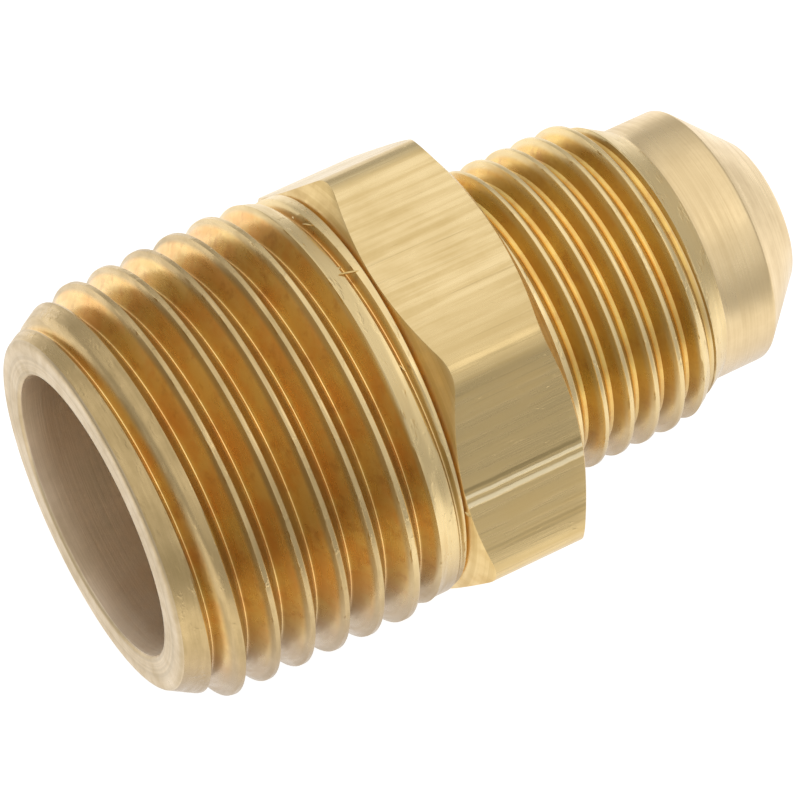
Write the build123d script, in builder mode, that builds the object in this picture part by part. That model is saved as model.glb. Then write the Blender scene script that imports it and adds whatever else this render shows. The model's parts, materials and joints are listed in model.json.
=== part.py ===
from build123d import *
from math import cos, degrees, atan2, radians, tan
import os

# Flare connector: a tapered pipe thread at one end, a hexagon in the middle, and a straight
# thread with a 45 degree flare seat at the other end, turned from one piece of hexagonal brass
# bar and bored through.
#
# Millimetres. +X runs along the axis from the pipe end to the flare end, +Z is up and square to
# two of the hexagon's flats. The origin is the centre of the pipe end face. The profiles are drawn
# as (distance along X, distance from the axis).

# Both threads: 60 degree form
FLANK_TAN = tan(radians(30))
CUTTER_OVERLAP = 0.10  # how far a thread cutter stands above the crest

# Hexagon
HEX_ACROSS_FLATS = 20.64  # the bar; larger where the collar asks for it
HEX_BELOW_COLLAR = 0.06  # the least bar is this much under the collar's diameter
HEX_CORNER_RADIUS = 1.9
HEX_LENGTH = 6.7
HEX_CHAMFER_ANGLE = 30.0  # from the end faces
HEX_FACE_INSET = 0.31  # the chamfers start this far inside the flats

# Pipe end: 1/2-14 tapered pipe thread, taper 1 in 16 on the diameter
PIPE_LENGTH = 14.5  # end face to hexagon
PIPE_PITCH = 25.4 / 14
PIPE_CREST_DIAMETER = 20.72  # at the end face
PIPE_TAPER = 1 / 16
PIPE_CREST_FLAT = 0.22
PIPE_THREAD_HEIGHT = 1.30
PIPE_FIRST_GROOVE = 1.172  # centre of the first groove from the end face, along the top
PIPE_FULL_TURNS = 7
PIPE_FIRST_PASS_TURNS = 4  # the full turns are cut in two passes
PASS_STEP = 0.02  # each pass of the pipe thread starts this much shallower than the last ended
PIPE_RING_INSET = 1.41  # from the crest at the end face in to the flat ring's edge
PIPE_CHAMFER_ANGLE = 30.0  # from the axis
PIPE_LAST_CREST = 2.3  # where the crests start to die away, from the hexagon
COLLAR_INSET = 0.01  # from the crest at the end face in to the plain collar by the hexagon
COLLAR_LENGTH = 1.0
PIPE_LAST_GROOVE_DEPTH = 0.42  # below the collar, one turn after the full thread
PIPE_BORE_DIAMETER = 14.46
PIPE_BORE_DEPTH = 13.0
BORE_EDGE_BREAK = 0.12

# Flare end: 5/8-18 unified thread, cylindrical nose and 45 degree seat
FLARE_THREAD_DIAMETER = 15.86
FLARE_PITCH = 25.4 / 18
FLARE_CREST_FLAT = 0.20
FLARE_THREAD_HEIGHT = 0.84
FLARE_FIRST_GROOVE = 0.76  # centre of the first full groove from the hexagon, along the bottom
FLARE_TURNS = 6
FLARE_RUNOUT_TURNS = 0.3
FLARE_THREAD_LENGTH = 10.0  # hexagon to nose, with the end chamfer
FLARE_CHAMFER_ANGLE = 30.5  # from the axis
NOSE_INSET = 1.28  # from the thread's crest in to the nose
NOSE_LENGTH = 2.75
NOSE_EDGE_RADIUS = 0.25
SEAT_ANGLE = 45.0  # from the axis
SEAT_TIP_DIAMETER = 7.72
FLARE_BORE_DIAMETER = 7.14
DRILL_POINT_ANGLE = 59.0  # half of the drill's point

# Radii that follow the threads
ring_radius = PIPE_CREST_DIAMETER / 2 - PIPE_RING_INSET
collar_radius = PIPE_CREST_DIAMETER / 2 - COLLAR_INSET
flare_crest = FLARE_THREAD_DIAMETER / 2
nose_radius = flare_crest - NOSE_INSET
tip_radius = SEAT_TIP_DIAMETER / 2

# Places along the axis
hex_start = PIPE_LENGTH
hex_end = hex_start + HEX_LENGTH
nose_start = hex_end + FLARE_THREAD_LENGTH
seat_start = nose_start + NOSE_LENGTH
tip = seat_start + (nose_radius - tip_radius) / tan(radians(SEAT_ANGLE))

# Hexagon and its chamfers
hex_flat = max(HEX_ACROSS_FLATS, 2 * collar_radius - HEX_BELOW_COLLAR) / 2
chamfer_circle = hex_flat - HEX_FACE_INSET
hex_corner = hex_flat / cos(radians(30))
chamfer_depth = (hex_corner - chamfer_circle) * tan(radians(HEX_CHAMFER_ANGLE))

# Pipe thread
pipe_slope = PIPE_TAPER / 2
pipe_cone_angle = degrees(atan2(pipe_slope, 1))


def pipe_crest_at(x):
    return PIPE_CREST_DIAMETER / 2 + pipe_slope * x


def pipe_root_at(x):
    return pipe_crest_at(x) - PIPE_THREAD_HEIGHT


pipe_chamfer_slope = tan(radians(PIPE_CHAMFER_ANGLE))
pipe_chamfer_length = (pipe_crest_at(0) - ring_radius) / (pipe_chamfer_slope - pipe_slope)
last_crest = hex_start - PIPE_LAST_CREST
collar_start = hex_start - COLLAR_LENGTH

pipe_cut_start = PIPE_FIRST_GROOVE - PIPE_PITCH
pipe_first_length = PIPE_FIRST_PASS_TURNS * PIPE_PITCH
pipe_second_start = pipe_cut_start + pipe_first_length
pipe_second_length = PIPE_FULL_TURNS * PIPE_PITCH - pipe_first_length
pipe_second_root = pipe_root_at(pipe_second_start) + PASS_STEP
pipe_fade_start = pipe_second_start + pipe_second_length
pipe_fade_root = pipe_root_at(pipe_fade_start) + 2 * PASS_STEP
pipe_last_root = collar_radius - PIPE_LAST_GROOVE_DEPTH
pipe_fade_angle = degrees(atan2(pipe_last_root - pipe_fade_root, PIPE_PITCH))
pipe_exit_start = pipe_fade_start + PIPE_PITCH
pipe_exit_length = PIPE_PITCH / 2
pipe_exit_root = pipe_last_root + PASS_STEP
pipe_exit_rise = collar_radius + CUTTER_OVERLAP - pipe_exit_root
pipe_exit_angle = degrees(atan2(pipe_exit_rise, pipe_exit_length))

# Flare thread
flare_root = flare_crest - FLARE_THREAD_HEIGHT
flare_chamfer_length = (flare_crest - nose_radius) / tan(radians(FLARE_CHAMFER_ANGLE))
flare_cut_end = hex_end + FLARE_FIRST_GROOVE
flare_cut_start = flare_cut_end + FLARE_TURNS * FLARE_PITCH
flare_exit_length = FLARE_RUNOUT_TURNS * FLARE_PITCH
flare_exit_angle = degrees(atan2(FLARE_THREAD_HEIGHT + CUTTER_OVERLAP, flare_exit_length))

# Bores
pipe_bore = PIPE_BORE_DIAMETER / 2
flare_bore = FLARE_BORE_DIAMETER / 2
drill_point_length = (pipe_bore - flare_bore) / tan(radians(DRILL_POINT_ANGLE))


def groove_outline(x, root, pitch, crest_flat, height):
    """Corners of a thread cutter whose root is at (x, root), as (along X, from the axis)."""
    half_root = (pitch - crest_flat) / 2 - height * FLANK_TAN
    half_top = half_root + (height + CUTTER_OVERLAP) * FLANK_TAN
    top = root + height + CUTTER_OVERLAP
    return [
        (x - half_root, root),
        (x + half_root, root),
        (x + half_top, top),
        (x - half_top, top),
    ]


def mirrored_down(points):
    """The same outline on the other side of the axis, where a cut towards -X starts."""
    return [(x, -radius) for x, radius in points]


def helix_pitch(pitch, cone_angle):
    """The pitch along a cone's slant that gives this pitch along the axis."""
    return pitch / cos(radians(cone_angle))


with BuildPart() as connector_body:
    # Hexagon, chamfered at both ends
    with BuildSketch(Plane.YZ.offset(hex_start)):
        RegularPolygon(hex_flat, 6, major_radius=False)
        fillet(vertices(), HEX_CORNER_RADIUS)
    extrude(amount=HEX_LENGTH)
    with BuildSketch(Plane.XY):
        with BuildLine():
            Polyline(
                (hex_start, 0),
                (hex_start, chamfer_circle),
                (hex_start + chamfer_depth, hex_corner),
                (hex_end - chamfer_depth, hex_corner),
                (hex_end, chamfer_circle),
                (hex_end, 0),
                close=True,
            )
        make_face()
    revolve(axis=Axis.X, mode=Mode.INTERSECT)

    # Turned blank of both ends
    with BuildSketch(Plane.XY):
        with BuildLine():
            Polyline(
                (0, 0),
                (0, ring_radius),
                (pipe_chamfer_length, pipe_crest_at(pipe_chamfer_length)),
                (last_crest, pipe_crest_at(last_crest)),
                (collar_start, collar_radius),
                (hex_start, collar_radius),
                (hex_start, flare_crest),
                (nose_start - flare_chamfer_length, flare_crest),
                (nose_start, nose_radius),
                (seat_start, nose_radius),
                (tip, tip_radius),
                (tip, 0),
                close=True,
            )
        make_face()
        fillet(vertices().group_by(Axis.X)[-2], NOSE_EDGE_RADIUS)
    revolve(axis=Axis.X)

    # Pipe thread: two passes at full depth, one turn that gets shallower, and the tool's way out
    for start, length, root, cone_angle in (
        (pipe_cut_start, pipe_first_length, pipe_root_at(pipe_cut_start), pipe_cone_angle),
        (pipe_second_start, pipe_second_length, pipe_second_root, pipe_cone_angle),
        (pipe_fade_start, PIPE_PITCH, pipe_fade_root, pipe_fade_angle),
        (pipe_exit_start, pipe_exit_length, pipe_exit_root, pipe_exit_angle),
    ):
        with BuildLine():
            pipe_path = Helix(
                helix_pitch(PIPE_PITCH, cone_angle),
                length,
                root,
                center=(start, 0, 0),
                direction=(1, 0, 0),
                cone_angle=cone_angle,
            )
        with BuildSketch(Plane.XZ):
            with BuildLine():
                Polyline(
                    groove_outline(start, root, PIPE_PITCH, PIPE_CREST_FLAT, PIPE_THREAD_HEIGHT),
                    close=True,
                )
            make_face()
        sweep(path=pipe_path, is_frenet=True, mode=Mode.SUBTRACT)

    # Flare thread, from the nose to the hexagon, then the tool's way out
    for start, length, cone_angle in (
        (flare_cut_start, FLARE_TURNS * FLARE_PITCH, 0),
        (flare_cut_end, flare_exit_length, flare_exit_angle),
    ):
        with BuildLine():
            flare_path = Helix(
                helix_pitch(FLARE_PITCH, cone_angle),
                length,
                flare_root,
                center=(start, 0, 0),
                direction=(-1, 0, 0),
                cone_angle=cone_angle,
            )
        with BuildSketch(Plane.XZ):
            with BuildLine():
                Polyline(
                    mirrored_down(
                        groove_outline(
                            start, flare_root, FLARE_PITCH, FLARE_CREST_FLAT, FLARE_THREAD_HEIGHT
                        )
                    ),
                    close=True,
                )
            make_face()
        sweep(path=flare_path, is_frenet=True, mode=Mode.SUBTRACT)

    # Bores: the wide one from the pipe end, with its drill point, and the narrow one right through
    with BuildSketch(Plane.XY):
        with BuildLine():
            Polyline(
                (0, 0),
                (0, pipe_bore + BORE_EDGE_BREAK),
                (BORE_EDGE_BREAK, pipe_bore),
                (PIPE_BORE_DEPTH, pipe_bore),
                (PIPE_BORE_DEPTH + drill_point_length, flare_bore),
                (tip, flare_bore),
                (tip, 0),
                close=True,
            )
        make_face()
    revolve(axis=Axis.X, mode=Mode.SUBTRACT)

connector_body.part.label = "connector_body"
os.makedirs("parts", exist_ok=True)
export_step(connector_body.part, "parts/connector_body.step")
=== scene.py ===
import json
import math

import bpy
from mathutils import Matrix, Vector, noise


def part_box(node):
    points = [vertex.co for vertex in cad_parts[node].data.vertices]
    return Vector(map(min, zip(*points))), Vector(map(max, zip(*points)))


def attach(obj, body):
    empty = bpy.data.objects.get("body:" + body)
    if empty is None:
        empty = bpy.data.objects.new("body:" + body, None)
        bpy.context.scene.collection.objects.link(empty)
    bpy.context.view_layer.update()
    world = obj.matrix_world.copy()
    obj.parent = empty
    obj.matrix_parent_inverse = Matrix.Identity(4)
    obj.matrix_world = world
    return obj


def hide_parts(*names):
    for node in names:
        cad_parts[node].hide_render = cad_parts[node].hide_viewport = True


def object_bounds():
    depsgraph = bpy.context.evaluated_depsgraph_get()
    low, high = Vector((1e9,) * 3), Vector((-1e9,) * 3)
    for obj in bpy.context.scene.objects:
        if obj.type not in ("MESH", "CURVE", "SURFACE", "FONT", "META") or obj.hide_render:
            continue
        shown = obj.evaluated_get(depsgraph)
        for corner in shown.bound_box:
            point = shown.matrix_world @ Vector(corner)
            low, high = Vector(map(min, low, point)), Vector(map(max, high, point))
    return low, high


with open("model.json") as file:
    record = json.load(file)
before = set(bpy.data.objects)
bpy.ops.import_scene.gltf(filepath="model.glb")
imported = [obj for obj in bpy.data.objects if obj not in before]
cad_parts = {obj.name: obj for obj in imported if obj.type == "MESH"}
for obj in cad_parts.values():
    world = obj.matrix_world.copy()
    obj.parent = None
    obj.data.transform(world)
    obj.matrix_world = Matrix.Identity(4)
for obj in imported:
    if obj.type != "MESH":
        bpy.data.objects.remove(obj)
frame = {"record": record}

# Flare connector in brass: one turned body, shown as one skin. The sections are in millimetres,
# as distance along the axis (x) and distance from the axis (radius). Angles round the axis are in
# turns, counted from the top (+Z) towards the front (-Y). Colours are linear.

MM = 0.001
CAD_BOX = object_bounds()
MOUNTS = {mount["name"]: mount for mount in frame["record"]["mounts"]}

# Sizes read from the frame
WIDE_BORE = MOUNTS["pipe_bore"]["dims"]["r_mm"]
NARROW_BORE = MOUNTS["flare_bore"]["dims"]["r_mm"]
FLAT_DISTANCE = MOUNTS["wrench_flat_top"]["pos_m"][2] / MM
HEX_MIDDLE = MOUNTS["wrench_flat_top"]["pos_m"][0] / MM
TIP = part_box("connector_body")[1].x / MM

# Hexagon
HEX_LENGTH = 6.7
HEX_START = HEX_MIDDLE - HEX_LENGTH / 2
HEX_END = HEX_MIDDLE + HEX_LENGTH / 2
HEX_CORNER_RADIUS = 1.9
HEX_CORNER_REACH = 30 - math.degrees(
    math.atan((FLAT_DISTANCE - HEX_CORNER_RADIUS) * math.tan(math.radians(30)) / FLAT_DISTANCE)
)
HEX_FACE_INSET = 0.31  # the chamfers start this far inside the flats
HEX_CHAMFER_CIRCLE = FLAT_DISTANCE - HEX_FACE_INSET
HEX_CHAMFER_SLOPE = math.tan(math.radians(30))
HEX_EDGE = 0.035  # rounding where the chamfers meet the flats
HEX_EDGE_STATIONS = ((-0.5, 0.87), (0.12, 0.10), (1.0, 0.0))  # back and down, in shares of the edge
CHAMFER_SHARES = (0.06, 0.25, 0.5, 0.75)
FLAT_ROWS = 10
CHAMFER_FACING = 0.3  # faces turned further towards the axis direction than this are faced
DRAWING_LINE = 4.28  # height above the axis of the drawing line on the front lower flat

# Both threads
FLANK_SLOPE = math.tan(math.radians(30))
ROOT_ROUNDING = 0.05
CREST_ROUNDING = 0.035
CHAMFER_BLEND = 0.08  # how softly a thread's chamfer meets its crests
CUTTER_OVERLAP = 0.1  # the tool leaves the work this far above it
WELD_DISTANCE = 0.0015 * MM

# Pipe end
PIPE_PITCH = 25.4 / 14
PIPE_CREST = 10.36
PIPE_SLOPE = 1 / 32
PIPE_CREST_FLAT = 0.22
PIPE_HEIGHT = 1.30
PIPE_FIRST_GROOVE = 1.172
PIPE_FULL_TURNS = 6
PIPE_EXIT_TURNS = 0.5
PIPE_END_RADIUS = 8.95
PIPE_CHAMFER_SLOPE = math.tan(math.radians(30))
PIPE_SHEET_START = 0.15
PIPE_SHEET_END = HEX_START - 0.03
COLLAR_RADIUS = 10.35
COLLAR_START = HEX_START - 1.0
COLLAR_BLEND = 0.05
LAST_CREST = HEX_START - 2.3
LAST_GROOVE_ROOT = COLLAR_RADIUS - 0.42
LAST_CREST_FALL = PIPE_CREST + PIPE_SLOPE * LAST_CREST - COLLAR_RADIUS
LAST_CREST_SLOPE = LAST_CREST_FALL / (COLLAR_START - LAST_CREST)
BORE_EDGE_BREAK = 0.12
END_FACE_ROUNDING = 0.25
WIDE_BORE_DEPTH = 13.0
DRILL_POINT = (WIDE_BORE - NARROW_BORE) / math.tan(math.radians(59))

# Flare end
FLARE_PITCH = 25.4 / 18
FLARE_CREST = 7.93
FLARE_CREST_FLAT = 0.20
FLARE_HEIGHT = 0.84
FLARE_ROOT = FLARE_CREST - FLARE_HEIGHT
FLARE_FIRST_GROOVE = HEX_END + 0.76
FLARE_RUNOUT_TURNS = 0.3
NOSE_RADIUS = 6.65
NOSE_START = HEX_END + 10.0
FLARE_CHAMFER_SLOPE = math.tan(math.radians(30.5))
FLARE_SHEET_START = HEX_END + 0.03
FLARE_SHEET_END = NOSE_START - 0.03
SEAT_TIP_RADIUS = 3.86
SEAT_START = TIP - (NOSE_RADIUS - SEAT_TIP_RADIUS)
NOSE_EDGE_RADIUS = 0.25

# Columns round the body: close together at the hexagon's corners
CORNER_COLUMNS = 4
CORNER_STEP = HEX_CORNER_REACH / CORNER_COLUMNS
FLAT_STEPS = 9


def smooth_min(a, b, reach):
    """The smaller value, with the corner between the two rounded over this reach."""
    gap = max(reach - abs(a - b), 0.0)
    return min(a, b) - gap * gap / (4 * reach)


def smooth_max(a, b, reach):
    """The larger value, rounded in the same way."""
    return -smooth_min(-a, -b, reach)


def column_turns():
    """Where the columns stand round the body, in turns from the top, with the last on the first."""
    corner_half = CORNER_STEP * CORNER_COLUMNS
    flat_step = (30 - corner_half) / FLAT_STEPS
    angles = []
    for side in range(6):
        middle = 60 * side
        angles += [middle + flat_step * i for i in range(FLAT_STEPS)]
        angles += [middle + 30 + CORNER_STEP * i for i in range(-CORNER_COLUMNS, CORNER_COLUMNS + 1)]
        angles += [middle + 30 + corner_half + flat_step * i for i in range(1, FLAT_STEPS)]
    return [angle / 360 for angle in angles] + [1.0]


COLUMNS = column_turns()


# ---------------------------------------------------------------- sections


def pipe_blank(x):
    """Radius of the pipe end before its thread is cut."""
    chamfer = PIPE_END_RADIUS + PIPE_CHAMFER_SLOPE * x
    crest = PIPE_CREST + PIPE_SLOPE * x
    fall = COLLAR_RADIUS + LAST_CREST_SLOPE * max(COLLAR_START - x, 0)
    return smooth_min(smooth_min(chamfer, crest, CHAMFER_BLEND), fall, COLLAR_BLEND)


def pipe_root(turns):
    """Root radius this many turns along the groove, or None where there is no groove."""

    def cone_root(turns):
        return PIPE_CREST + PIPE_SLOPE * (PIPE_FIRST_GROOVE + PIPE_PITCH * turns) - PIPE_HEIGHT

    if turns < PIPE_FULL_TURNS:
        return cone_root(turns)
    full_root = cone_root(PIPE_FULL_TURNS)
    fading = turns - PIPE_FULL_TURNS
    if fading < 1:
        return full_root + (LAST_GROOVE_ROOT - full_root) * fading
    leaving = (fading - 1) / PIPE_EXIT_TURNS
    if leaving < 1:
        return LAST_GROOVE_ROOT + (COLLAR_RADIUS + CUTTER_OVERLAP - LAST_GROOVE_ROOT) * leaving
    return None


def flare_blank(x):
    """Radius of the flare end before its thread is cut."""
    chamfer = NOSE_RADIUS + FLARE_CHAMFER_SLOPE * (NOSE_START - x)
    return smooth_min(FLARE_CREST, chamfer, CHAMFER_BLEND)


def flare_root(turns):
    """Root radius this many turns from the last full groove, or None where there is no groove."""
    if turns >= 0:
        return FLARE_ROOT
    leaving = -turns / FLARE_RUNOUT_TURNS
    if leaving < 1:
        return FLARE_ROOT + (FLARE_HEIGHT + CUTTER_OVERLAP) * leaving
    return None


PIPE_THREAD = {
    "pitch": PIPE_PITCH,
    "first": PIPE_FIRST_GROOVE,
    "half_root": (PIPE_PITCH - PIPE_CREST_FLAT) / 2 - PIPE_HEIGHT * FLANK_SLOPE,
    "half_top": (PIPE_PITCH - PIPE_CREST_FLAT) / 2,
    "blank": pipe_blank,
    "root": pipe_root,
    "start": PIPE_SHEET_START,
    "end": PIPE_SHEET_END,
}
FLARE_THREAD = {
    "pitch": FLARE_PITCH,
    "first": FLARE_FIRST_GROOVE - FLARE_PITCH / 2,
    "half_root": (FLARE_PITCH - FLARE_CREST_FLAT) / 2 - FLARE_HEIGHT * FLANK_SLOPE,
    "half_top": (FLARE_PITCH - FLARE_CREST_FLAT) / 2,
    "blank": flare_blank,
    "root": lambda turns: flare_root(turns - 0.5),
    "start": FLARE_SHEET_START,
    "end": FLARE_SHEET_END,
}


def threaded_radius(thread, x, turn):
    """Radius of a thread's surface."""
    radius = thread["blank"](x)
    before = math.floor((x - thread["first"]) / thread["pitch"] - turn)
    for groove in (before, before + 1):
        turns = groove + turn
        root = thread["root"](turns)
        if root is not None:
            distance = abs(x - thread["first"] - thread["pitch"] * turns)
            wall = root + (distance - thread["half_root"]) / FLANK_SLOPE
            radius = smooth_min(radius, smooth_max(root, wall, ROOT_ROUNDING), CREST_ROUNDING)
    return radius


def hexagon_radius(turn):
    """Distance from the axis to the hexagon's side, with its corner rounded."""
    from_corner = abs((turn * 360) % 60 - 30)
    flat = FLAT_DISTANCE / math.cos(math.radians(30 - from_corner))
    centre = (FLAT_DISTANCE - HEX_CORNER_RADIUS) / math.cos(math.radians(30))
    across = centre * math.sin(math.radians(from_corner))
    if from_corner >= HEX_CORNER_REACH:
        return flat
    return centre * math.cos(math.radians(from_corner)) + math.sqrt(HEX_CORNER_RADIUS**2 - across**2)


# ---------------------------------------------------------------- sheets


def rolled_sheet(name, row_count, place, material):
    """A grid rolled round the axis. place(row, turn) gives each corner's x and radius."""
    bpy.ops.object.select_all(action="DESELECT")
    bpy.ops.mesh.primitive_grid_add(
        x_subdivisions=row_count - 1, y_subdivisions=len(COLUMNS) - 1, size=1, location=(0, 0, 0)
    )
    sheet = bpy.context.object
    sheet.name = name
    for vertex in sheet.data.vertices:
        row = round((vertex.co.x + 0.5) * (row_count - 1))
        turn = COLUMNS[round((vertex.co.y + 0.5) * (len(COLUMNS) - 1))]
        x, radius = place(row, turn)
        angle = math.tau * turn
        vertex.co = (x * MM, -radius * math.sin(angle) * MM, radius * math.cos(angle) * MM)
    sheet.data.materials.append(material)
    return sheet


def ring_sheet(name, stations, material):
    """A sheet whose rows are stations: (x, radius) pairs, or functions of the turn that give one."""

    def place(row, turn):
        station = stations[row]
        return station(turn) if callable(station) else station

    return rolled_sheet(name, len(stations), place, material)


# Rows of a thread's groove: just outside the root, up the flank, and about the crest's edge
ROOT_ROWS = (0.015, 0.05)
FLANK_SHARES = (0.18, 0.32, 0.46, 0.60, 0.74, 0.88)
CREST_ROWS = (-0.020, -0.004, 0.012)


def thread_offsets(thread):
    """Rows of one pitch, from the groove's middle, close together at the root and the crest edges."""
    half_root, half_top = thread["half_root"], thread["half_top"]
    flank = half_top - half_root
    side = [half_root * 0.5]
    side += [half_root + step for step in ROOT_ROWS]
    side += [half_root + flank * share for share in FLANK_SHARES]
    side += [half_top + step for step in CREST_ROWS]
    return [-offset for offset in reversed(side)] + [0.0] + side + [thread["pitch"] / 2]


def thread_sheet(name, thread, material):
    """A thread's surface. Its rows follow the helix and are held back at the sheet's two ends."""
    start, end, pitch = thread["start"], thread["end"], thread["pitch"]
    first_groove = math.floor((start - thread["first"]) / pitch) - 1
    last_groove = math.ceil((end - thread["first"]) / pitch)
    rows = [
        thread["first"] + pitch * groove + offset
        for groove in range(first_groove, last_groove + 1)
        for offset in thread_offsets(thread)
    ]
    rows = [x for x in rows if start - pitch - pitch / 2 < x < end + pitch / 2]

    def place(row, turn):
        x = min(max(rows[row] + pitch * turn, start), end)
        return x, threaded_radius(thread, x, turn)

    sheet = rolled_sheet(name, len(rows), place, material)
    depth = sheet.data.attributes.new("groove_depth", "FLOAT", "POINT")
    for vertex in sheet.data.vertices:
        radius = math.hypot(vertex.co.y, vertex.co.z) / MM
        depth.data[vertex.index].value = thread["blank"](vertex.co.x / MM) - radius
    return sheet


def arc(middle, radius, first_degrees, last_degrees, steps):
    """Stations on a rounded edge, its angles measured from the axis direction."""
    stations = []
    for step in range(steps + 1):
        angle = math.radians(first_degrees + (last_degrees - first_degrees) * step / steps)
        stations.append((middle[0] + radius * math.cos(angle), middle[1] + radius * math.sin(angle)))
    return stations


def line(a, b, steps):
    """Stations between two points, with neither end."""
    return [
        (a[0] + (b[0] - a[0]) * i / steps, a[1] + (b[1] - a[1]) * i / steps) for i in range(1, steps)
    ]


# ---------------------------------------------------------------- brass finishes

# Tool marks and grain: noise scales along X, Y and Z, small where the marks are long
TURNED_CUTS = (9000, 160, 160)
THREAD_CUTS = (5200, 380, 380)
DRAWN_STREAKS = (110, 2600, 2600)
DARK_STREAKS = (90, 3300, 3300)
FINE_STREAKS = (500, 11000, 11000)
DRAWN_SPECKS = (1500, 3600, 3600)
FACED_GRAIN = (1200, 1200, 1200)
TARNISH_CLOUDS = (260, 260, 260)
FINE_GRAIN = (9000, 9000, 9000)
GROOVE_PATCHES = (620, 460, 460)
GROOVE_STAINS = (1500, 1000, 1000)
WORN_CREST = (2400, 900, 900)
LINE_WANDER = (700, 0, 0)
RINGS_PER_METRE = 2600
LOW_SIDE = (-2.5, 3.5)  # heights between which the low side's shade fades away

# Colours
PIPE_AMBER = (1.0, 0.70, 0.27, 1)
PIPE_BROWN = (0.96, 0.56, 0.19, 1)
PIPE_CREST_BRASS = (0.70, 0.51, 0.25, 1)
FLARE_AMBER = (0.97, 0.66, 0.20, 1)
FLARE_BROWN = (0.86, 0.53, 0.15, 1)
FLARE_CREST_BRASS = (0.80, 0.61, 0.32, 1)
DULL_CREST = (0.50, 0.36, 0.165, 1)
CLEAN_CREST = (0.93, 0.72, 0.37, 1)
GROOVE_STAIN = (0.68, 0.35, 0.12, 1)
# painted shade for the thread flanks that face along the axis
FAR_FLANK_PAINTED_SHADE = (0.38, 0.27, 0.11, 1)
# painted shade: darker colour for the thread's low side
THREAD_PAINTED_UNDERSIDE_SHADE = (0.38, 0.27, 0.15, 1)
NOSE_BRASS = (0.94, 0.73, 0.42, 1)
DULL_NOSE = (0.78, 0.59, 0.32, 1)
# painted shade: darker colour for the nose's low side
NOSE_PAINTED_UNDERSIDE_SHADE = (0.56, 0.43, 0.27, 1)
BORE_BRASS = (0.78, 0.63, 0.46, 1)
DULL_BORE = (0.60, 0.47, 0.31, 1)
# painted light on the front of the bore
BORE_PAINTED_LIGHT = (1.0, 0.89, 0.74, 1)
BAR_BRASS = (0.87, 0.675, 0.36, 1)
DULL_BAR = (0.69, 0.50, 0.22, 1)
# painted shade towards the front corner of the flats
BAR_PAINTED_SHADE_NEAR_CORNER = (0.62, 0.45, 0.20, 1)
# painted shade for the flat above the drawing line
BAR_PAINTED_SHADE_ABOVE_LINE = (0.56, 0.42, 0.20, 1)
# painted shade and painted highlight for the walls of the drawing line
BAR_SCORE_PAINTED_SHADE = (0.34, 0.25, 0.11, 1)
BAR_RIDGE_PAINTED_HIGHLIGHT = (0.95, 0.80, 0.50, 1)
BAR_DARK_STREAK = (0.45, 0.33, 0.15, 1)
END_BRASS = (0.70, 0.55, 0.35, 1)
DULL_END = (0.56, 0.43, 0.25, 1)
END_RING = (0.44, 0.33, 0.18, 1)
CHAMFER_BRASS = (0.85, 0.63, 0.29, 1)
DULL_CHAMFER = (0.72, 0.50, 0.20, 1)
CHAMFER_RING = (0.62, 0.42, 0.15, 1)


class Nodes:
    """A material's nodes, added one at a time."""

    def __init__(self, name):
        self.material = bpy.data.materials.new(name)
        self.material.use_nodes = True
        self.tree = self.material.node_tree
        self.shader = self.tree.nodes["Principled BSDF"]
        self.place = self.tree.nodes.new("ShaderNodeTexCoord").outputs["Object"]

    def add(self, kind, inputs=(), **settings):
        node = self.tree.nodes.new(kind)
        for setting, value in settings.items():
            setattr(node, setting, value)
        for socket, value in dict(inputs).items():
            if isinstance(value, bpy.types.NodeSocket):
                self.tree.links.new(value, node.inputs[socket])
            else:
                node.inputs[socket].default_value = value
        return node

    def stretched_noise(self, scale, detail=2.0, roughness=0.5):
        """Noise that is stretched along an axis by a small scale on it."""
        mapping = self.add("ShaderNodeMapping", {"Vector": self.place, "Scale": scale})
        grain = self.add(
            "ShaderNodeTexNoise",
            {"Vector": mapping.outputs["Vector"], "Scale": 1.0, "Detail": detail, "Roughness": roughness},
        )
        return grain.outputs["Fac"]

    def ramp(self, value, low, high, low_to=0.0, high_to=1.0):
        """The value's range from low to high, mapped smoothly."""
        node = self.add(
            "ShaderNodeMapRange",
            {"Value": value, "From Min": low, "From Max": high, "To Min": low_to, "To Max": high_to},
            interpolation_type="SMOOTHSTEP",
        )
        return node.outputs["Result"]

    def math(self, operation, a, b=0.0):
        node = self.add("ShaderNodeMath", {0: a, 1: b}, operation=operation)
        return node.outputs[0]

    def mix(self, factor, a, b):
        node = self.add("ShaderNodeMix", data_type="RGBA")
        for socket, value in ((node.inputs[0], factor), (node.inputs[6], a), (node.inputs[7], b)):
            if isinstance(value, bpy.types.NodeSocket):
                self.tree.links.new(value, socket)
            else:
                socket.default_value = value
        return node.outputs[2]

    def present(self, socket):
        """What feeds this socket of the shader now."""
        return self.shader.inputs[socket].links[0].from_socket

    def place_along(self, axis):
        """The place along X, Y or Z."""
        return self.add("ShaderNodeSeparateXYZ", {"Vector": self.place}).outputs[axis]

    def painted_underside_shade(self, most):
        """How much painted shade the low side gets, from nothing above the axis up to most below it."""
        low, high = LOW_SIDE
        return self.ramp(self.place_along("Z"), low * MM, high * MM, most, 0.0)

    def bump(self, height, distance, strength=1.0, normal=None):
        inputs = {"Height": height, "Distance": distance, "Strength": strength}
        if normal is not None:
            inputs["Normal"] = normal
        return self.add("ShaderNodeBump", inputs).outputs["Normal"]

    def link(self, value, socket):
        self.tree.links.new(value, self.shader.inputs[socket])


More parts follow.
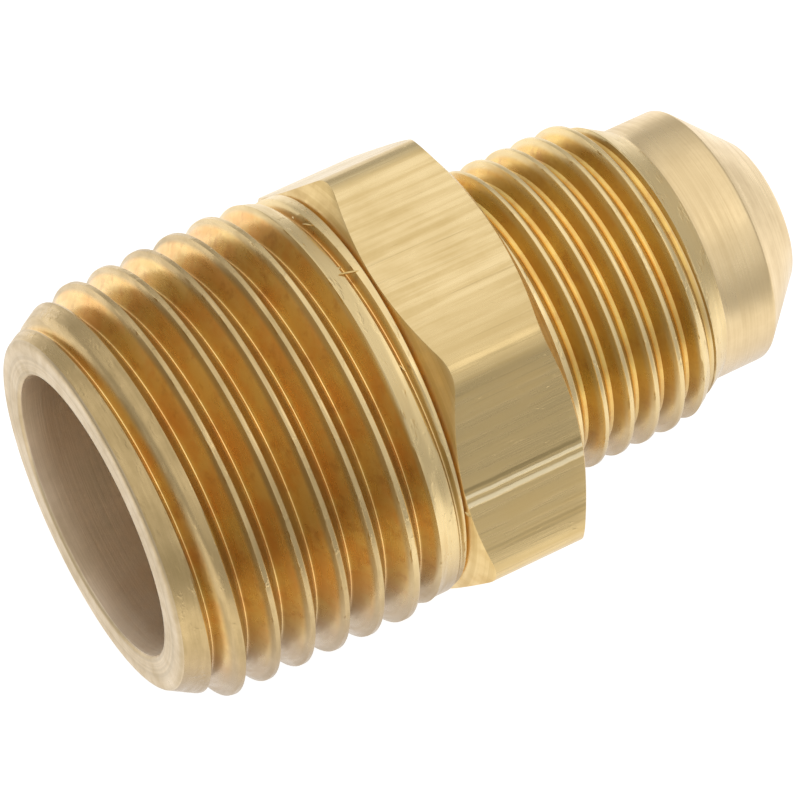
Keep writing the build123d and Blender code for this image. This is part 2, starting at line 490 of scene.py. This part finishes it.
def brass(name, bright, dull, roughness, cut_scale, cut_depth, cut_colour=0.5):
    """Brass with tool marks: the tarnish in soft clouds, the marks stretched by cut_scale."""
    nodes = Nodes(name)
    nodes.shader.inputs["Metallic"].default_value = 1.0
    clouds = nodes.stretched_noise(TARNISH_CLOUDS, 5.0, 0.65)
    cuts = nodes.stretched_noise(cut_scale, 4.0, 0.6)
    fine = nodes.stretched_noise(FINE_GRAIN, 2.0)
    dulling_and_shade = nodes.math(
        "ADD",
        nodes.ramp(clouds, 0.35, 0.68, 0.0, 1.0 - cut_colour),
        nodes.ramp(cuts, 0.36, 0.66, 0.0, cut_colour),
    )
    nodes.link(nodes.mix(dulling_and_shade, bright, dull), "Base Color")
    cloudy = nodes.ramp(clouds, 0.3, 0.7, roughness * 0.85, roughness * 1.15)
    nodes.link(nodes.math("ADD", cloudy, nodes.ramp(cuts, 0.35, 0.7, -0.04, 0.06)), "Roughness")
    rough_grain = nodes.bump(fine, 0.0000025, 0.6)
    nodes.link(nodes.bump(cuts, cut_depth, 0.9, rough_grain), "Normal")
    return nodes


def threaded_brass(name, amber, brown, crest_brass):
    """Thread: pale worn crests, a far flank darkened with painted shade, painted shade on the low side,
    and stained roots with brown and yellow patches.
    """
    nodes = brass(name, crest_brass, DULL_CREST, 0.30, THREAD_CUTS, 0.000008, 0.4)
    crest_colour = nodes.present("Base Color")
    paler_share = nodes.ramp(nodes.place_along("X"), 8.5 * MM, 13.5 * MM, 0.0, 0.75)
    crest_colour = nodes.mix(paler_share, crest_colour, CLEAN_CREST)
    depth = nodes.add("ShaderNodeAttribute", attribute_name="groove_depth").outputs["Fac"]
    facing = nodes.add("ShaderNodeAttribute", attribute_name="facing_along_axis").outputs["Fac"]
    in_groove = nodes.ramp(depth, 0.16, 0.42)
    # painted shade on the flanks that face along the axis towards the flare
    far_flank_shade = nodes.math("MULTIPLY", nodes.ramp(facing, 0.35, 0.75), nodes.ramp(depth, 0.02, 0.10))
    patches = nodes.ramp(nodes.stretched_noise(GROOVE_PATCHES, 5.0, 0.62), 0.36, 0.64)
    stains = nodes.ramp(nodes.stretched_noise(GROOVE_STAINS, 4.0, 0.6), 0.52, 0.72)
    groove = nodes.mix(patches, amber, brown)
    groove = nodes.mix(nodes.math("MULTIPLY", stains, 0.5), groove, GROOVE_STAIN)
    colour = nodes.mix(in_groove, crest_colour, groove)
    colour = nodes.mix(nodes.math("MULTIPLY", far_flank_shade, 0.9), colour, FAR_FLANK_PAINTED_SHADE)
    # painted shade darkens the thread's low side
    nodes.link(nodes.mix(nodes.painted_underside_shade(0.9), colour, THREAD_PAINTED_UNDERSIDE_SHADE), "Base Color")
    worn = nodes.ramp(nodes.stretched_noise(WORN_CREST, 3.0, 0.6), 0.55, 0.68)
    on_crest = nodes.ramp(depth, 0.0, 0.12, 1.0, 0.0)
    previous = nodes.present("Normal")
    nodes.link(nodes.bump(nodes.math("MULTIPLY", worn, on_crest), 0.00003, 0.5, previous), "Normal")
    return nodes.material


def turned_brass():
    """The nose and its cone, left by the lathe: fine rings, pale where the light is even, with painted
    shade on the low side.
    """
    nodes = brass("turned_brass", NOSE_BRASS, DULL_NOSE, 0.32, TURNED_CUTS, 0.000006, 0.35)
    colour = nodes.present("Base Color")
    # painted shade darkens the nose's low side
    nodes.link(nodes.mix(nodes.painted_underside_shade(1.0), colour, NOSE_PAINTED_UNDERSIDE_SHADE), "Base Color")
    return nodes.material


def faced_brass(name, bright, dull, ring_colour):
    """An end face or a chamfer, faced square on: its rings lie one inside the next."""
    nodes = brass(name, bright, dull, 0.36, FACED_GRAIN, 0.000004, 0.3)
    colour = nodes.present("Base Color")
    across = nodes.add("ShaderNodeVectorMath", {0: nodes.place, 1: (0, 1, 1)}, operation="MULTIPLY")
    radius = nodes.add("ShaderNodeVectorMath", {0: across.outputs["Vector"]}, operation="LENGTH")
    spread = nodes.math("MULTIPLY", radius.outputs["Value"], RINGS_PER_METRE)
    rings = nodes.add(
        "ShaderNodeTexNoise", {"W": spread, "Scale": 1.0, "Detail": 4.0}, noise_dimensions="1D"
    )
    ring = nodes.ramp(rings.outputs["Fac"], 0.42, 0.66)
    nodes.link(nodes.mix(nodes.math("MULTIPLY", ring, 0.6), colour, ring_colour), "Base Color")
    previous = nodes.present("Normal")
    nodes.link(nodes.bump(rings.outputs["Fac"], 0.00002, 0.7, previous), "Normal")
    return nodes.material


def bored_brass():
    """The bore: greyer, with soft rings from the drill, and painted light making it paler towards the
    front.
    """
    nodes = brass("bored_brass", BORE_BRASS, DULL_BORE, 0.46, TURNED_CUTS, 0.000006, 0.3)
    colour = nodes.present("Base Color")
    # painted light: the bore is painted paler towards the front
    paler_share = nodes.ramp(nodes.place_along("Y"), -6.5 * MM, 2.0 * MM, 0.85, 0.0)
    nodes.link(nodes.mix(paler_share, colour, BORE_PAINTED_LIGHT), "Base Color")
    return nodes.material


def drawn_brass():
    """Drawn bar: streaks along the axis, nicks, and a drawing line along the front lower flat, drawn with
    painted highlights and painted shade; painted shade also darkens the flat above the line and towards
    the front corner.
    """
    nodes = brass("drawn_brass", BAR_BRASS, DULL_BAR, 0.30, DRAWN_STREAKS, 0.000012, 0.62)
    colour = nodes.present("Base Color")
    height, sideways = nodes.place_along("Z"), nodes.place_along("Y")
    front = nodes.math("LESS_THAN", sideways, -5.5 * MM)
    # painted shade: the flats darken towards the front corner
    corner_shade = nodes.ramp(sideways, -5.2 * MM, -1.5 * MM, 0.6, 0.0)
    colour = nodes.mix(corner_shade, colour, BAR_PAINTED_SHADE_NEAR_CORNER)
    ragged = nodes.math("MULTIPLY", nodes.stretched_noise(LINE_WANDER, 2.0), 0.10 * MM)
    wandering = nodes.math("ADD", height, ragged)

    def band(middle, half_width):
        away = nodes.math("ABSOLUTE", nodes.math("SUBTRACT", wandering, middle * MM))
        strip = nodes.ramp(away, 0.3 * half_width * MM, half_width * MM, 1.0, 0.0)
        return nodes.math("MULTIPLY", strip, front)

    # painted highlights and painted shade stand in for the lit and shaded walls of the drawing line
    ridge_highlights = nodes.math("ADD", band(DRAWING_LINE + 0.28, 0.13), band(DRAWING_LINE - 0.14, 0.17))
    faint_score_shade = nodes.math("MULTIPLY", band(DRAWING_LINE - 2.55, 0.12), 0.35)
    score_shade = nodes.math("ADD", band(DRAWING_LINE + 0.60, 0.15), faint_score_shade)
    above_line = nodes.ramp(wandering, (DRAWING_LINE + 0.2) * MM, (DRAWING_LINE + 0.5) * MM)
    below_corner = nodes.ramp(wandering, 7.2 * MM, 8.6 * MM, 1.0, 0.0)
    # painted shade: the front flat is darker above the drawing line
    dulling_and_shade = nodes.math("MULTIPLY", nodes.math("MULTIPLY", above_line, below_corner), front)
    colour = nodes.mix(nodes.math("MULTIPLY", dulling_and_shade, 0.42), colour, BAR_PAINTED_SHADE_ABOVE_LINE)
    colour = nodes.mix(nodes.math("MULTIPLY", score_shade, 0.75), colour, BAR_SCORE_PAINTED_SHADE)
    colour = nodes.mix(nodes.math("MULTIPLY", ridge_highlights, 0.9), colour, BAR_RIDGE_PAINTED_HIGHLIGHT)
    dark_streaks = nodes.ramp(nodes.stretched_noise(DARK_STREAKS, 3.0, 0.55), 0.60, 0.72)
    colour = nodes.mix(nodes.math("MULTIPLY", dark_streaks, 0.45), colour, BAR_DARK_STREAK)
    nodes.link(colour, "Base Color")
    fine_streaks = nodes.stretched_noise(FINE_STREAKS, 3.0, 0.6)
    specks = nodes.ramp(nodes.stretched_noise(DRAWN_SPECKS, 2.0), 0.70, 0.80)
    previous = nodes.present("Normal")
    streaked = nodes.bump(fine_streaks, 0.000005, 0.8, previous)
    nicked = nodes.bump(specks, 0.00003, 0.3, streaked)
    nodes.link(nodes.bump(ridge_highlights, 0.00002, 0.5, nicked), "Normal")
    nodes.link(nodes.math("SUBTRACT", 1.0, nodes.math("MULTIPLY", ridge_highlights, 0.8)), "Metallic")
    return nodes.material


# ---------------------------------------------------------------- body


def bore_sheet(material):
    """The bore, from the flare tip to the pipe end, with its drill point and edge breaks."""
    drill_start = (WIDE_BORE_DEPTH + DRILL_POINT, NARROW_BORE)
    drill_end = (WIDE_BORE_DEPTH, WIDE_BORE)
    stations = [(TIP - 0.06, NARROW_BORE)]
    stations += line(stations[-1], drill_start, 10)
    stations += [(drill_start[0] + 0.05, NARROW_BORE), (drill_start[0] - 0.03, NARROW_BORE + 0.05)]
    stations += line(stations[-1], drill_end, 4)
    stations += [(drill_end[0] + 0.03, WIDE_BORE - 0.05), (drill_end[0] - 0.05, WIDE_BORE)]
    stations += line(stations[-1], (0.14, WIDE_BORE), 10)
    stations += [(0.15, WIDE_BORE), (BORE_EDGE_BREAK, WIDE_BORE + 0.008)]
    return ring_sheet("bore_sheet", stations, material)


def pipe_face_sheet(material):
    """The pipe end face, from the bore's edge break to the start of the thread's chamfer."""
    edge = WIDE_BORE + BORE_EDGE_BREAK
    rounding = END_FACE_ROUNDING
    stations = [(BORE_EDGE_BREAK, WIDE_BORE + 0.008), (0.03, edge - 0.02)]
    stations += [(0.006, edge + 0.01), (0.0, edge + 0.05)]
    stations += line((0.0, edge + 0.05), (0.0, PIPE_END_RADIUS - rounding), 6)
    stations += [(0.0, PIPE_END_RADIUS - rounding), (0.006, PIPE_END_RADIUS - rounding * 0.66)]
    stations += [(0.024, PIPE_END_RADIUS - rounding * 0.34), (0.055, PIPE_END_RADIUS - rounding * 0.08)]
    stations += [(0.095, PIPE_END_RADIUS + rounding * 0.14)]
    stations += [lambda turn: (PIPE_SHEET_START, threaded_radius(PIPE_THREAD, PIPE_SHEET_START, turn))]
    return ring_sheet("pipe_face_sheet", stations, material)


def chamfer_reach(radius):
    """How far from the hexagon's end faces its chamfers reach at this radius."""
    return (radius - HEX_CHAMFER_CIRCLE) * HEX_CHAMFER_SLOPE


def hexagon_sheet(flats, chamfers):
    """The hexagon with both chamfers, from the collar's notch to the foot of the flare thread."""

    def collar_radius(turn):
        return threaded_radius(PIPE_THREAD, PIPE_SHEET_END, turn)

    def on_chamfer(share, side):
        def station(turn):
            radius = HEX_CHAMFER_CIRCLE + (hexagon_radius(turn) - HEX_CHAMFER_CIRCLE) * share
            reach = chamfer_reach(radius)
            return (HEX_START + reach if side < 0 else HEX_END - reach), radius

        return station

    def on_edge(step, side):
        def station(turn):
            radius = hexagon_radius(turn)
            size = min(HEX_EDGE, (radius - HEX_CHAMFER_CIRCLE) * 0.5)
            reach = chamfer_reach(radius)
            away, lower = HEX_EDGE_STATIONS[step]
            reach += size * away
            return (HEX_START + reach if side < 0 else HEX_END - reach), radius - size * lower

        return station

    def on_flat(share):
        def station(turn):
            reach = chamfer_reach(hexagon_radius(turn)) + HEX_EDGE
            return HEX_START + reach + (HEX_LENGTH - 2 * reach) * share, hexagon_radius(turn)

        return station

    stations = [
        lambda turn: (PIPE_SHEET_END, collar_radius(turn)),
        lambda turn: (HEX_START - 0.008, collar_radius(turn) - 0.006),
        lambda turn: (HEX_START, collar_radius(turn) - 0.03),
        lambda turn: (HEX_START, collar_radius(turn) * 0.5 + (HEX_CHAMFER_CIRCLE + 0.01) * 0.5),
        (HEX_START, HEX_CHAMFER_CIRCLE + 0.01),
    ]
    stations += [on_chamfer(share, -1) for share in CHAMFER_SHARES]
    stations += [on_edge(step, -1) for step in (0, 1, 2)]
    stations += [on_flat(i / FLAT_ROWS) for i in range(1, FLAT_ROWS)]
    stations += [on_edge(step, 1) for step in (2, 1, 0)]
    stations += [on_chamfer(share, 1) for share in reversed(CHAMFER_SHARES)]
    stations += [(HEX_END - 0.004, HEX_CHAMFER_CIRCLE), (HEX_END, HEX_CHAMFER_CIRCLE - 0.02)]
    stations += line((HEX_END, HEX_CHAMFER_CIRCLE - 0.02), (HEX_END, FLARE_CREST + 0.10), 4)
    stations += arc((HEX_END + 0.08, FLARE_CREST + 0.08), 0.08, 180, 232, 3)
    stations += [lambda turn: (FLARE_SHEET_START, threaded_radius(FLARE_THREAD, FLARE_SHEET_START, turn))]
    sheet = ring_sheet("hexagon_sheet", stations, flats)
    sheet.data.materials.append(chamfers)
    for face in sheet.data.polygons:
        face.material_index = int(abs(face.normal.x) > CHAMFER_FACING)
    return sheet


def nose_sheet(material):
    """The plain nose, its rounded edge, the 45 degree seat and the narrow face at the tip."""
    stations = [
        lambda turn: (FLARE_SHEET_END, threaded_radius(FLARE_THREAD, FLARE_SHEET_END, turn)),
        (NOSE_START - 0.010, NOSE_RADIUS + 0.007),
        (NOSE_START + 0.02, NOSE_RADIUS),
    ]
    run_in = NOSE_EDGE_RADIUS * math.tan(math.radians(22.5))
    stations += line((NOSE_START + 0.02, NOSE_RADIUS), (SEAT_START - run_in, NOSE_RADIUS), 6)
    stations += arc((SEAT_START - run_in, NOSE_RADIUS - NOSE_EDGE_RADIUS), NOSE_EDGE_RADIUS, 90, 45, 6)
    tip_edge = 0.05
    seat_end = (TIP - tip_edge, SEAT_TIP_RADIUS + tip_edge)
    stations += line(stations[-1], seat_end, 10)
    stations += [seat_end, (TIP - 0.010, SEAT_TIP_RADIUS - 0.006), (TIP, SEAT_TIP_RADIUS - 0.05)]
    stations += [(TIP, NARROW_BORE + 0.06), (TIP - 0.010, NARROW_BORE + 0.018), (TIP - 0.06, NARROW_BORE)]
    return ring_sheet("nose_sheet", stations, material)


# Burrs left where the threading tool runs out and along the hexagon's chamfer: both ends as
# (x, turns, radius), then width and thickness
BURRS = [
    ((13.36, 0.9835, 10.42), (14.36, 0.9870, 10.33), 0.11, 0.08),
    ((13.44, 0.9790, 10.33), (13.76, 0.9760, 10.24), 0.09, 0.08),
    ((13.64, 0.9210, 10.30), (13.96, 0.9260, 10.24), 0.11, 0.09),
    ((13.50, 0.9120, 10.36), (13.60, 0.9060, 10.30), 0.09, 0.08),
    ((13.75, 0.0620, 10.22), (13.92, 0.0700, 10.28), 0.05, 0.06),
    ((14.58, 0.1910, 10.24), (14.78, 0.1950, 10.46), 0.14, 0.10),
]
BURR_RAGGEDNESS = 0.35
BURR_CUTS = 5
SMOOTH_ANGLE = 34  # degrees; sharper edges stay crisp


def around(x, turn, radius):
    """The point at this place along the axis, turn and distance from the axis."""
    angle = math.tau * turn
    return Vector((x, -radius * math.sin(angle), radius * math.cos(angle))) * MM


def burr(number, start, end, width, thickness, material):
    """A ragged sliver of metal, thick in the middle and thin at both ends."""
    bpy.ops.object.select_all(action="DESELECT")
    bpy.ops.mesh.primitive_cube_add(size=1, location=(0, 0, 0))
    sliver = bpy.context.object
    sliver.name = f"burr_{number}"
    bpy.ops.object.mode_set(mode="EDIT")
    bpy.ops.mesh.select_all(action="SELECT")
    bpy.ops.mesh.subdivide(number_cuts=BURR_CUTS)
    bpy.ops.object.mode_set(mode="OBJECT")
    first, last = around(*start), around(*end)
    along = last - first
    outwards = Vector((0, first.y, first.z)).normalized()
    sideways = along.cross(outwards).normalized()
    for vertex in sliver.data.vertices:
        share = vertex.co.x + 0.5
        fullness = 0.25 + 0.75 * math.sin(math.pi * share)
        ragged = 1 + BURR_RAGGEDNESS * noise.noise(vertex.co * 6 + Vector((number * 7.3, 0, 0)))
        side = sideways * vertex.co.y * width * fullness * ragged * MM
        rise = outwards * vertex.co.z * thickness * fullness * ragged * MM
        vertex.co = first + along * share + side + rise
    sliver.data.materials.append(material)
    smoothing = sliver.modifiers.new("burr_smoothing", "SUBSURF")
    smoothing.levels = smoothing.render_levels = 1
    bpy.ops.object.modifier_apply(modifier="burr_smoothing")
    return sliver


def mark_facing(skin):
    """Writes how far the skin faces along the axis at each corner of its faces."""
    facing = skin.data.attributes.new("facing_along_axis", "FLOAT", "CORNER")
    for corner, normal in zip(facing.data, skin.data.corner_normals):
        corner.value = normal.vector.x


def connector_skin():
    """All the sheets welded into one closed skin, with its burrs."""
    turned = turned_brass()
    end_brass = faced_brass("pipe_end_brass", END_BRASS, DULL_END, END_RING)
    chamfer_brass = faced_brass("chamfer_brass", CHAMFER_BRASS, DULL_CHAMFER, CHAMFER_RING)
    pipe_brass = threaded_brass("pipe_thread_brass", PIPE_AMBER, PIPE_BROWN, PIPE_CREST_BRASS)
    flare_brass = threaded_brass("flare_thread_brass", FLARE_AMBER, FLARE_BROWN, FLARE_CREST_BRASS)
    sheets = [
        bore_sheet(bored_brass()),
        pipe_face_sheet(end_brass),
        thread_sheet("pipe_thread_sheet", PIPE_THREAD, pipe_brass),
        hexagon_sheet(drawn_brass(), chamfer_brass),
        thread_sheet("flare_thread_sheet", FLARE_THREAD, flare_brass),
        nose_sheet(turned),
    ]
    sheets += [burr(number, *shape, chamfer_brass) for number, shape in enumerate(BURRS)]
    bpy.ops.object.select_all(action="DESELECT")
    for sheet in sheets:
        sheet.select_set(True)
    body = sheets[0]
    bpy.context.view_layer.objects.active = body
    bpy.ops.object.join()
    body.name = "connector_skin"
    bpy.ops.object.mode_set(mode="EDIT")
    bpy.ops.mesh.select_all(action="SELECT")
    bpy.ops.mesh.remove_doubles(threshold=WELD_DISTANCE)
    bpy.ops.mesh.normals_make_consistent(inside=False)
    bpy.ops.object.mode_set(mode="OBJECT")
    bpy.ops.object.shade_smooth_by_angle(angle=math.radians(SMOOTH_ANGLE))
    mark_facing(body)
    return body


# ---------------------------------------------------------------- studio

CAMERA_AZIMUTH = -36.55
CAMERA_ELEVATION = 59.99
CAMERA_ROLL = 7.93
CAMERA_DISTANCE = 0.2396
CAMERA_AIM = Vector((16.14, -1.22, 0.0)) * MM
CAMERA_LENS = 225
FLOOR_HALF_SIDE = 1.5
FLOOR_CUTS = 24
GLOW_NEAR = 0.045  # metres from the object's middle where the table's painted glow starts to dim
GLOW_FAR = 0.12
OBJECT_MIDDLE = (0.017, 0, 0)


def studio_floor(height):
    """A white table with a painted glow from its own emission: bright round the object, dimmer further
    away.
    """
    bpy.ops.object.select_all(action="DESELECT")
    bpy.ops.mesh.primitive_grid_add(
        x_subdivisions=FLOOR_CUTS, y_subdivisions=FLOOR_CUTS, size=2 * FLOOR_HALF_SIDE, location=(0, 0, 0)
    )
    floor = bpy.context.object
    floor.name = "studio_floor"
    for vertex in floor.data.vertices:
        vertex.co.z = height
    nodes = Nodes("white_table_painted_glow")
    to_middle = tuple(-along for along in OBJECT_MIDDLE)
    centred = nodes.add("ShaderNodeMapping", {"Vector": nodes.place, "Location": to_middle})
    distance = nodes.add("ShaderNodeVectorMath", {0: centred.outputs["Vector"]}, operation="LENGTH")
    # painted glow: the table's emission is strongest round the object and lightens its shadow
    glow = nodes.ramp(distance.outputs["Value"], GLOW_NEAR, GLOW_FAR, 0.92, 0.25)
    nodes.shader.inputs["Base Color"].default_value = (0.30, 0.30, 0.30, 1)
    nodes.shader.inputs["Roughness"].default_value = 0.9
    nodes.shader.inputs["Specular IOR Level"].default_value = 0.0
    nodes.shader.inputs["Emission Color"].default_value = (1, 1, 1, 1)
    nodes.link(glow, "Emission Strength")
    floor.data.materials.append(nodes.material)
    return floor


def soft_box(name, power, width, place, aim):
    """A square area light that looks at a point."""
    bpy.ops.object.light_add(type="AREA", location=place)
    lamp = bpy.context.object
    lamp.name = name
    lamp.data.energy = power
    lamp.data.size = width
    direction = Vector(aim) - Vector(place)
    lamp.rotation_euler = direction.to_track_quat("-Z", "Y").to_euler()
    return lamp


def studio_world():
    """A light tent: bright overhead, a little dimmer towards the horizon."""
    world = bpy.data.worlds.new("light_tent")
    world.use_nodes = True
    bpy.context.scene.world = world
    nodes = world.node_tree.nodes
    links = world.node_tree.links
    direction = nodes.new("ShaderNodeTexCoord").outputs["Generated"]
    split = nodes.new("ShaderNodeSeparateXYZ")
    links.new(direction, split.inputs["Vector"])
    ramp = nodes.new("ShaderNodeMapRange")
    ramp.interpolation_type = "SMOOTHSTEP"
    links.new(split.outputs["Z"], ramp.inputs["Value"])
    ramp.inputs["From Min"].default_value = -0.1
    ramp.inputs["From Max"].default_value = 0.75
    ramp.inputs["To Min"].default_value = 0.42
    ramp.inputs["To Max"].default_value = 0.86
    background = nodes["Background"]
    background.inputs["Color"].default_value = (1, 1, 1, 1)
    links.new(ramp.outputs["Result"], background.inputs["Strength"])


def studio_camera():
    """The camera, turned about its own line of sight by the roll."""
    azimuth, elevation = math.radians(CAMERA_AZIMUTH), math.radians(CAMERA_ELEVATION)
    back = Vector(
        (
            math.sin(azimuth) * math.cos(elevation),
            -math.cos(azimuth) * math.cos(elevation),
            math.sin(elevation),
        )
    )
    level = Vector((0, 0, 1)).cross(back).normalized()
    turned = Matrix.Rotation(math.radians(CAMERA_ROLL), 3, back)
    right = turned @ level
    up = back.cross(right)
    bpy.ops.object.camera_add(location=CAMERA_AIM + back * CAMERA_DISTANCE)
    camera = bpy.context.object
    axes = Matrix((right, up, back)).transposed()
    camera.rotation_euler = axes.to_euler()
    camera.data.lens = CAMERA_LENS
    camera.data.sensor_width = 36
    camera.data.clip_start = 0.005
    bpy.context.scene.camera = camera


body = connector_skin()
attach(body, "root")
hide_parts("connector_body")

studio_floor(CAD_BOX[0][2])
studio_world()
soft_box("overhead_softbox", 0.10, 0.40, (0.12, 0.16, 0.42), OBJECT_MIDDLE)
soft_box("front_softbox", 0.042, 0.16, (0.15, -0.13, 0.38), OBJECT_MIDDLE)
studio_camera()
bpy.context.scene.view_settings.view_transform = "Standard"
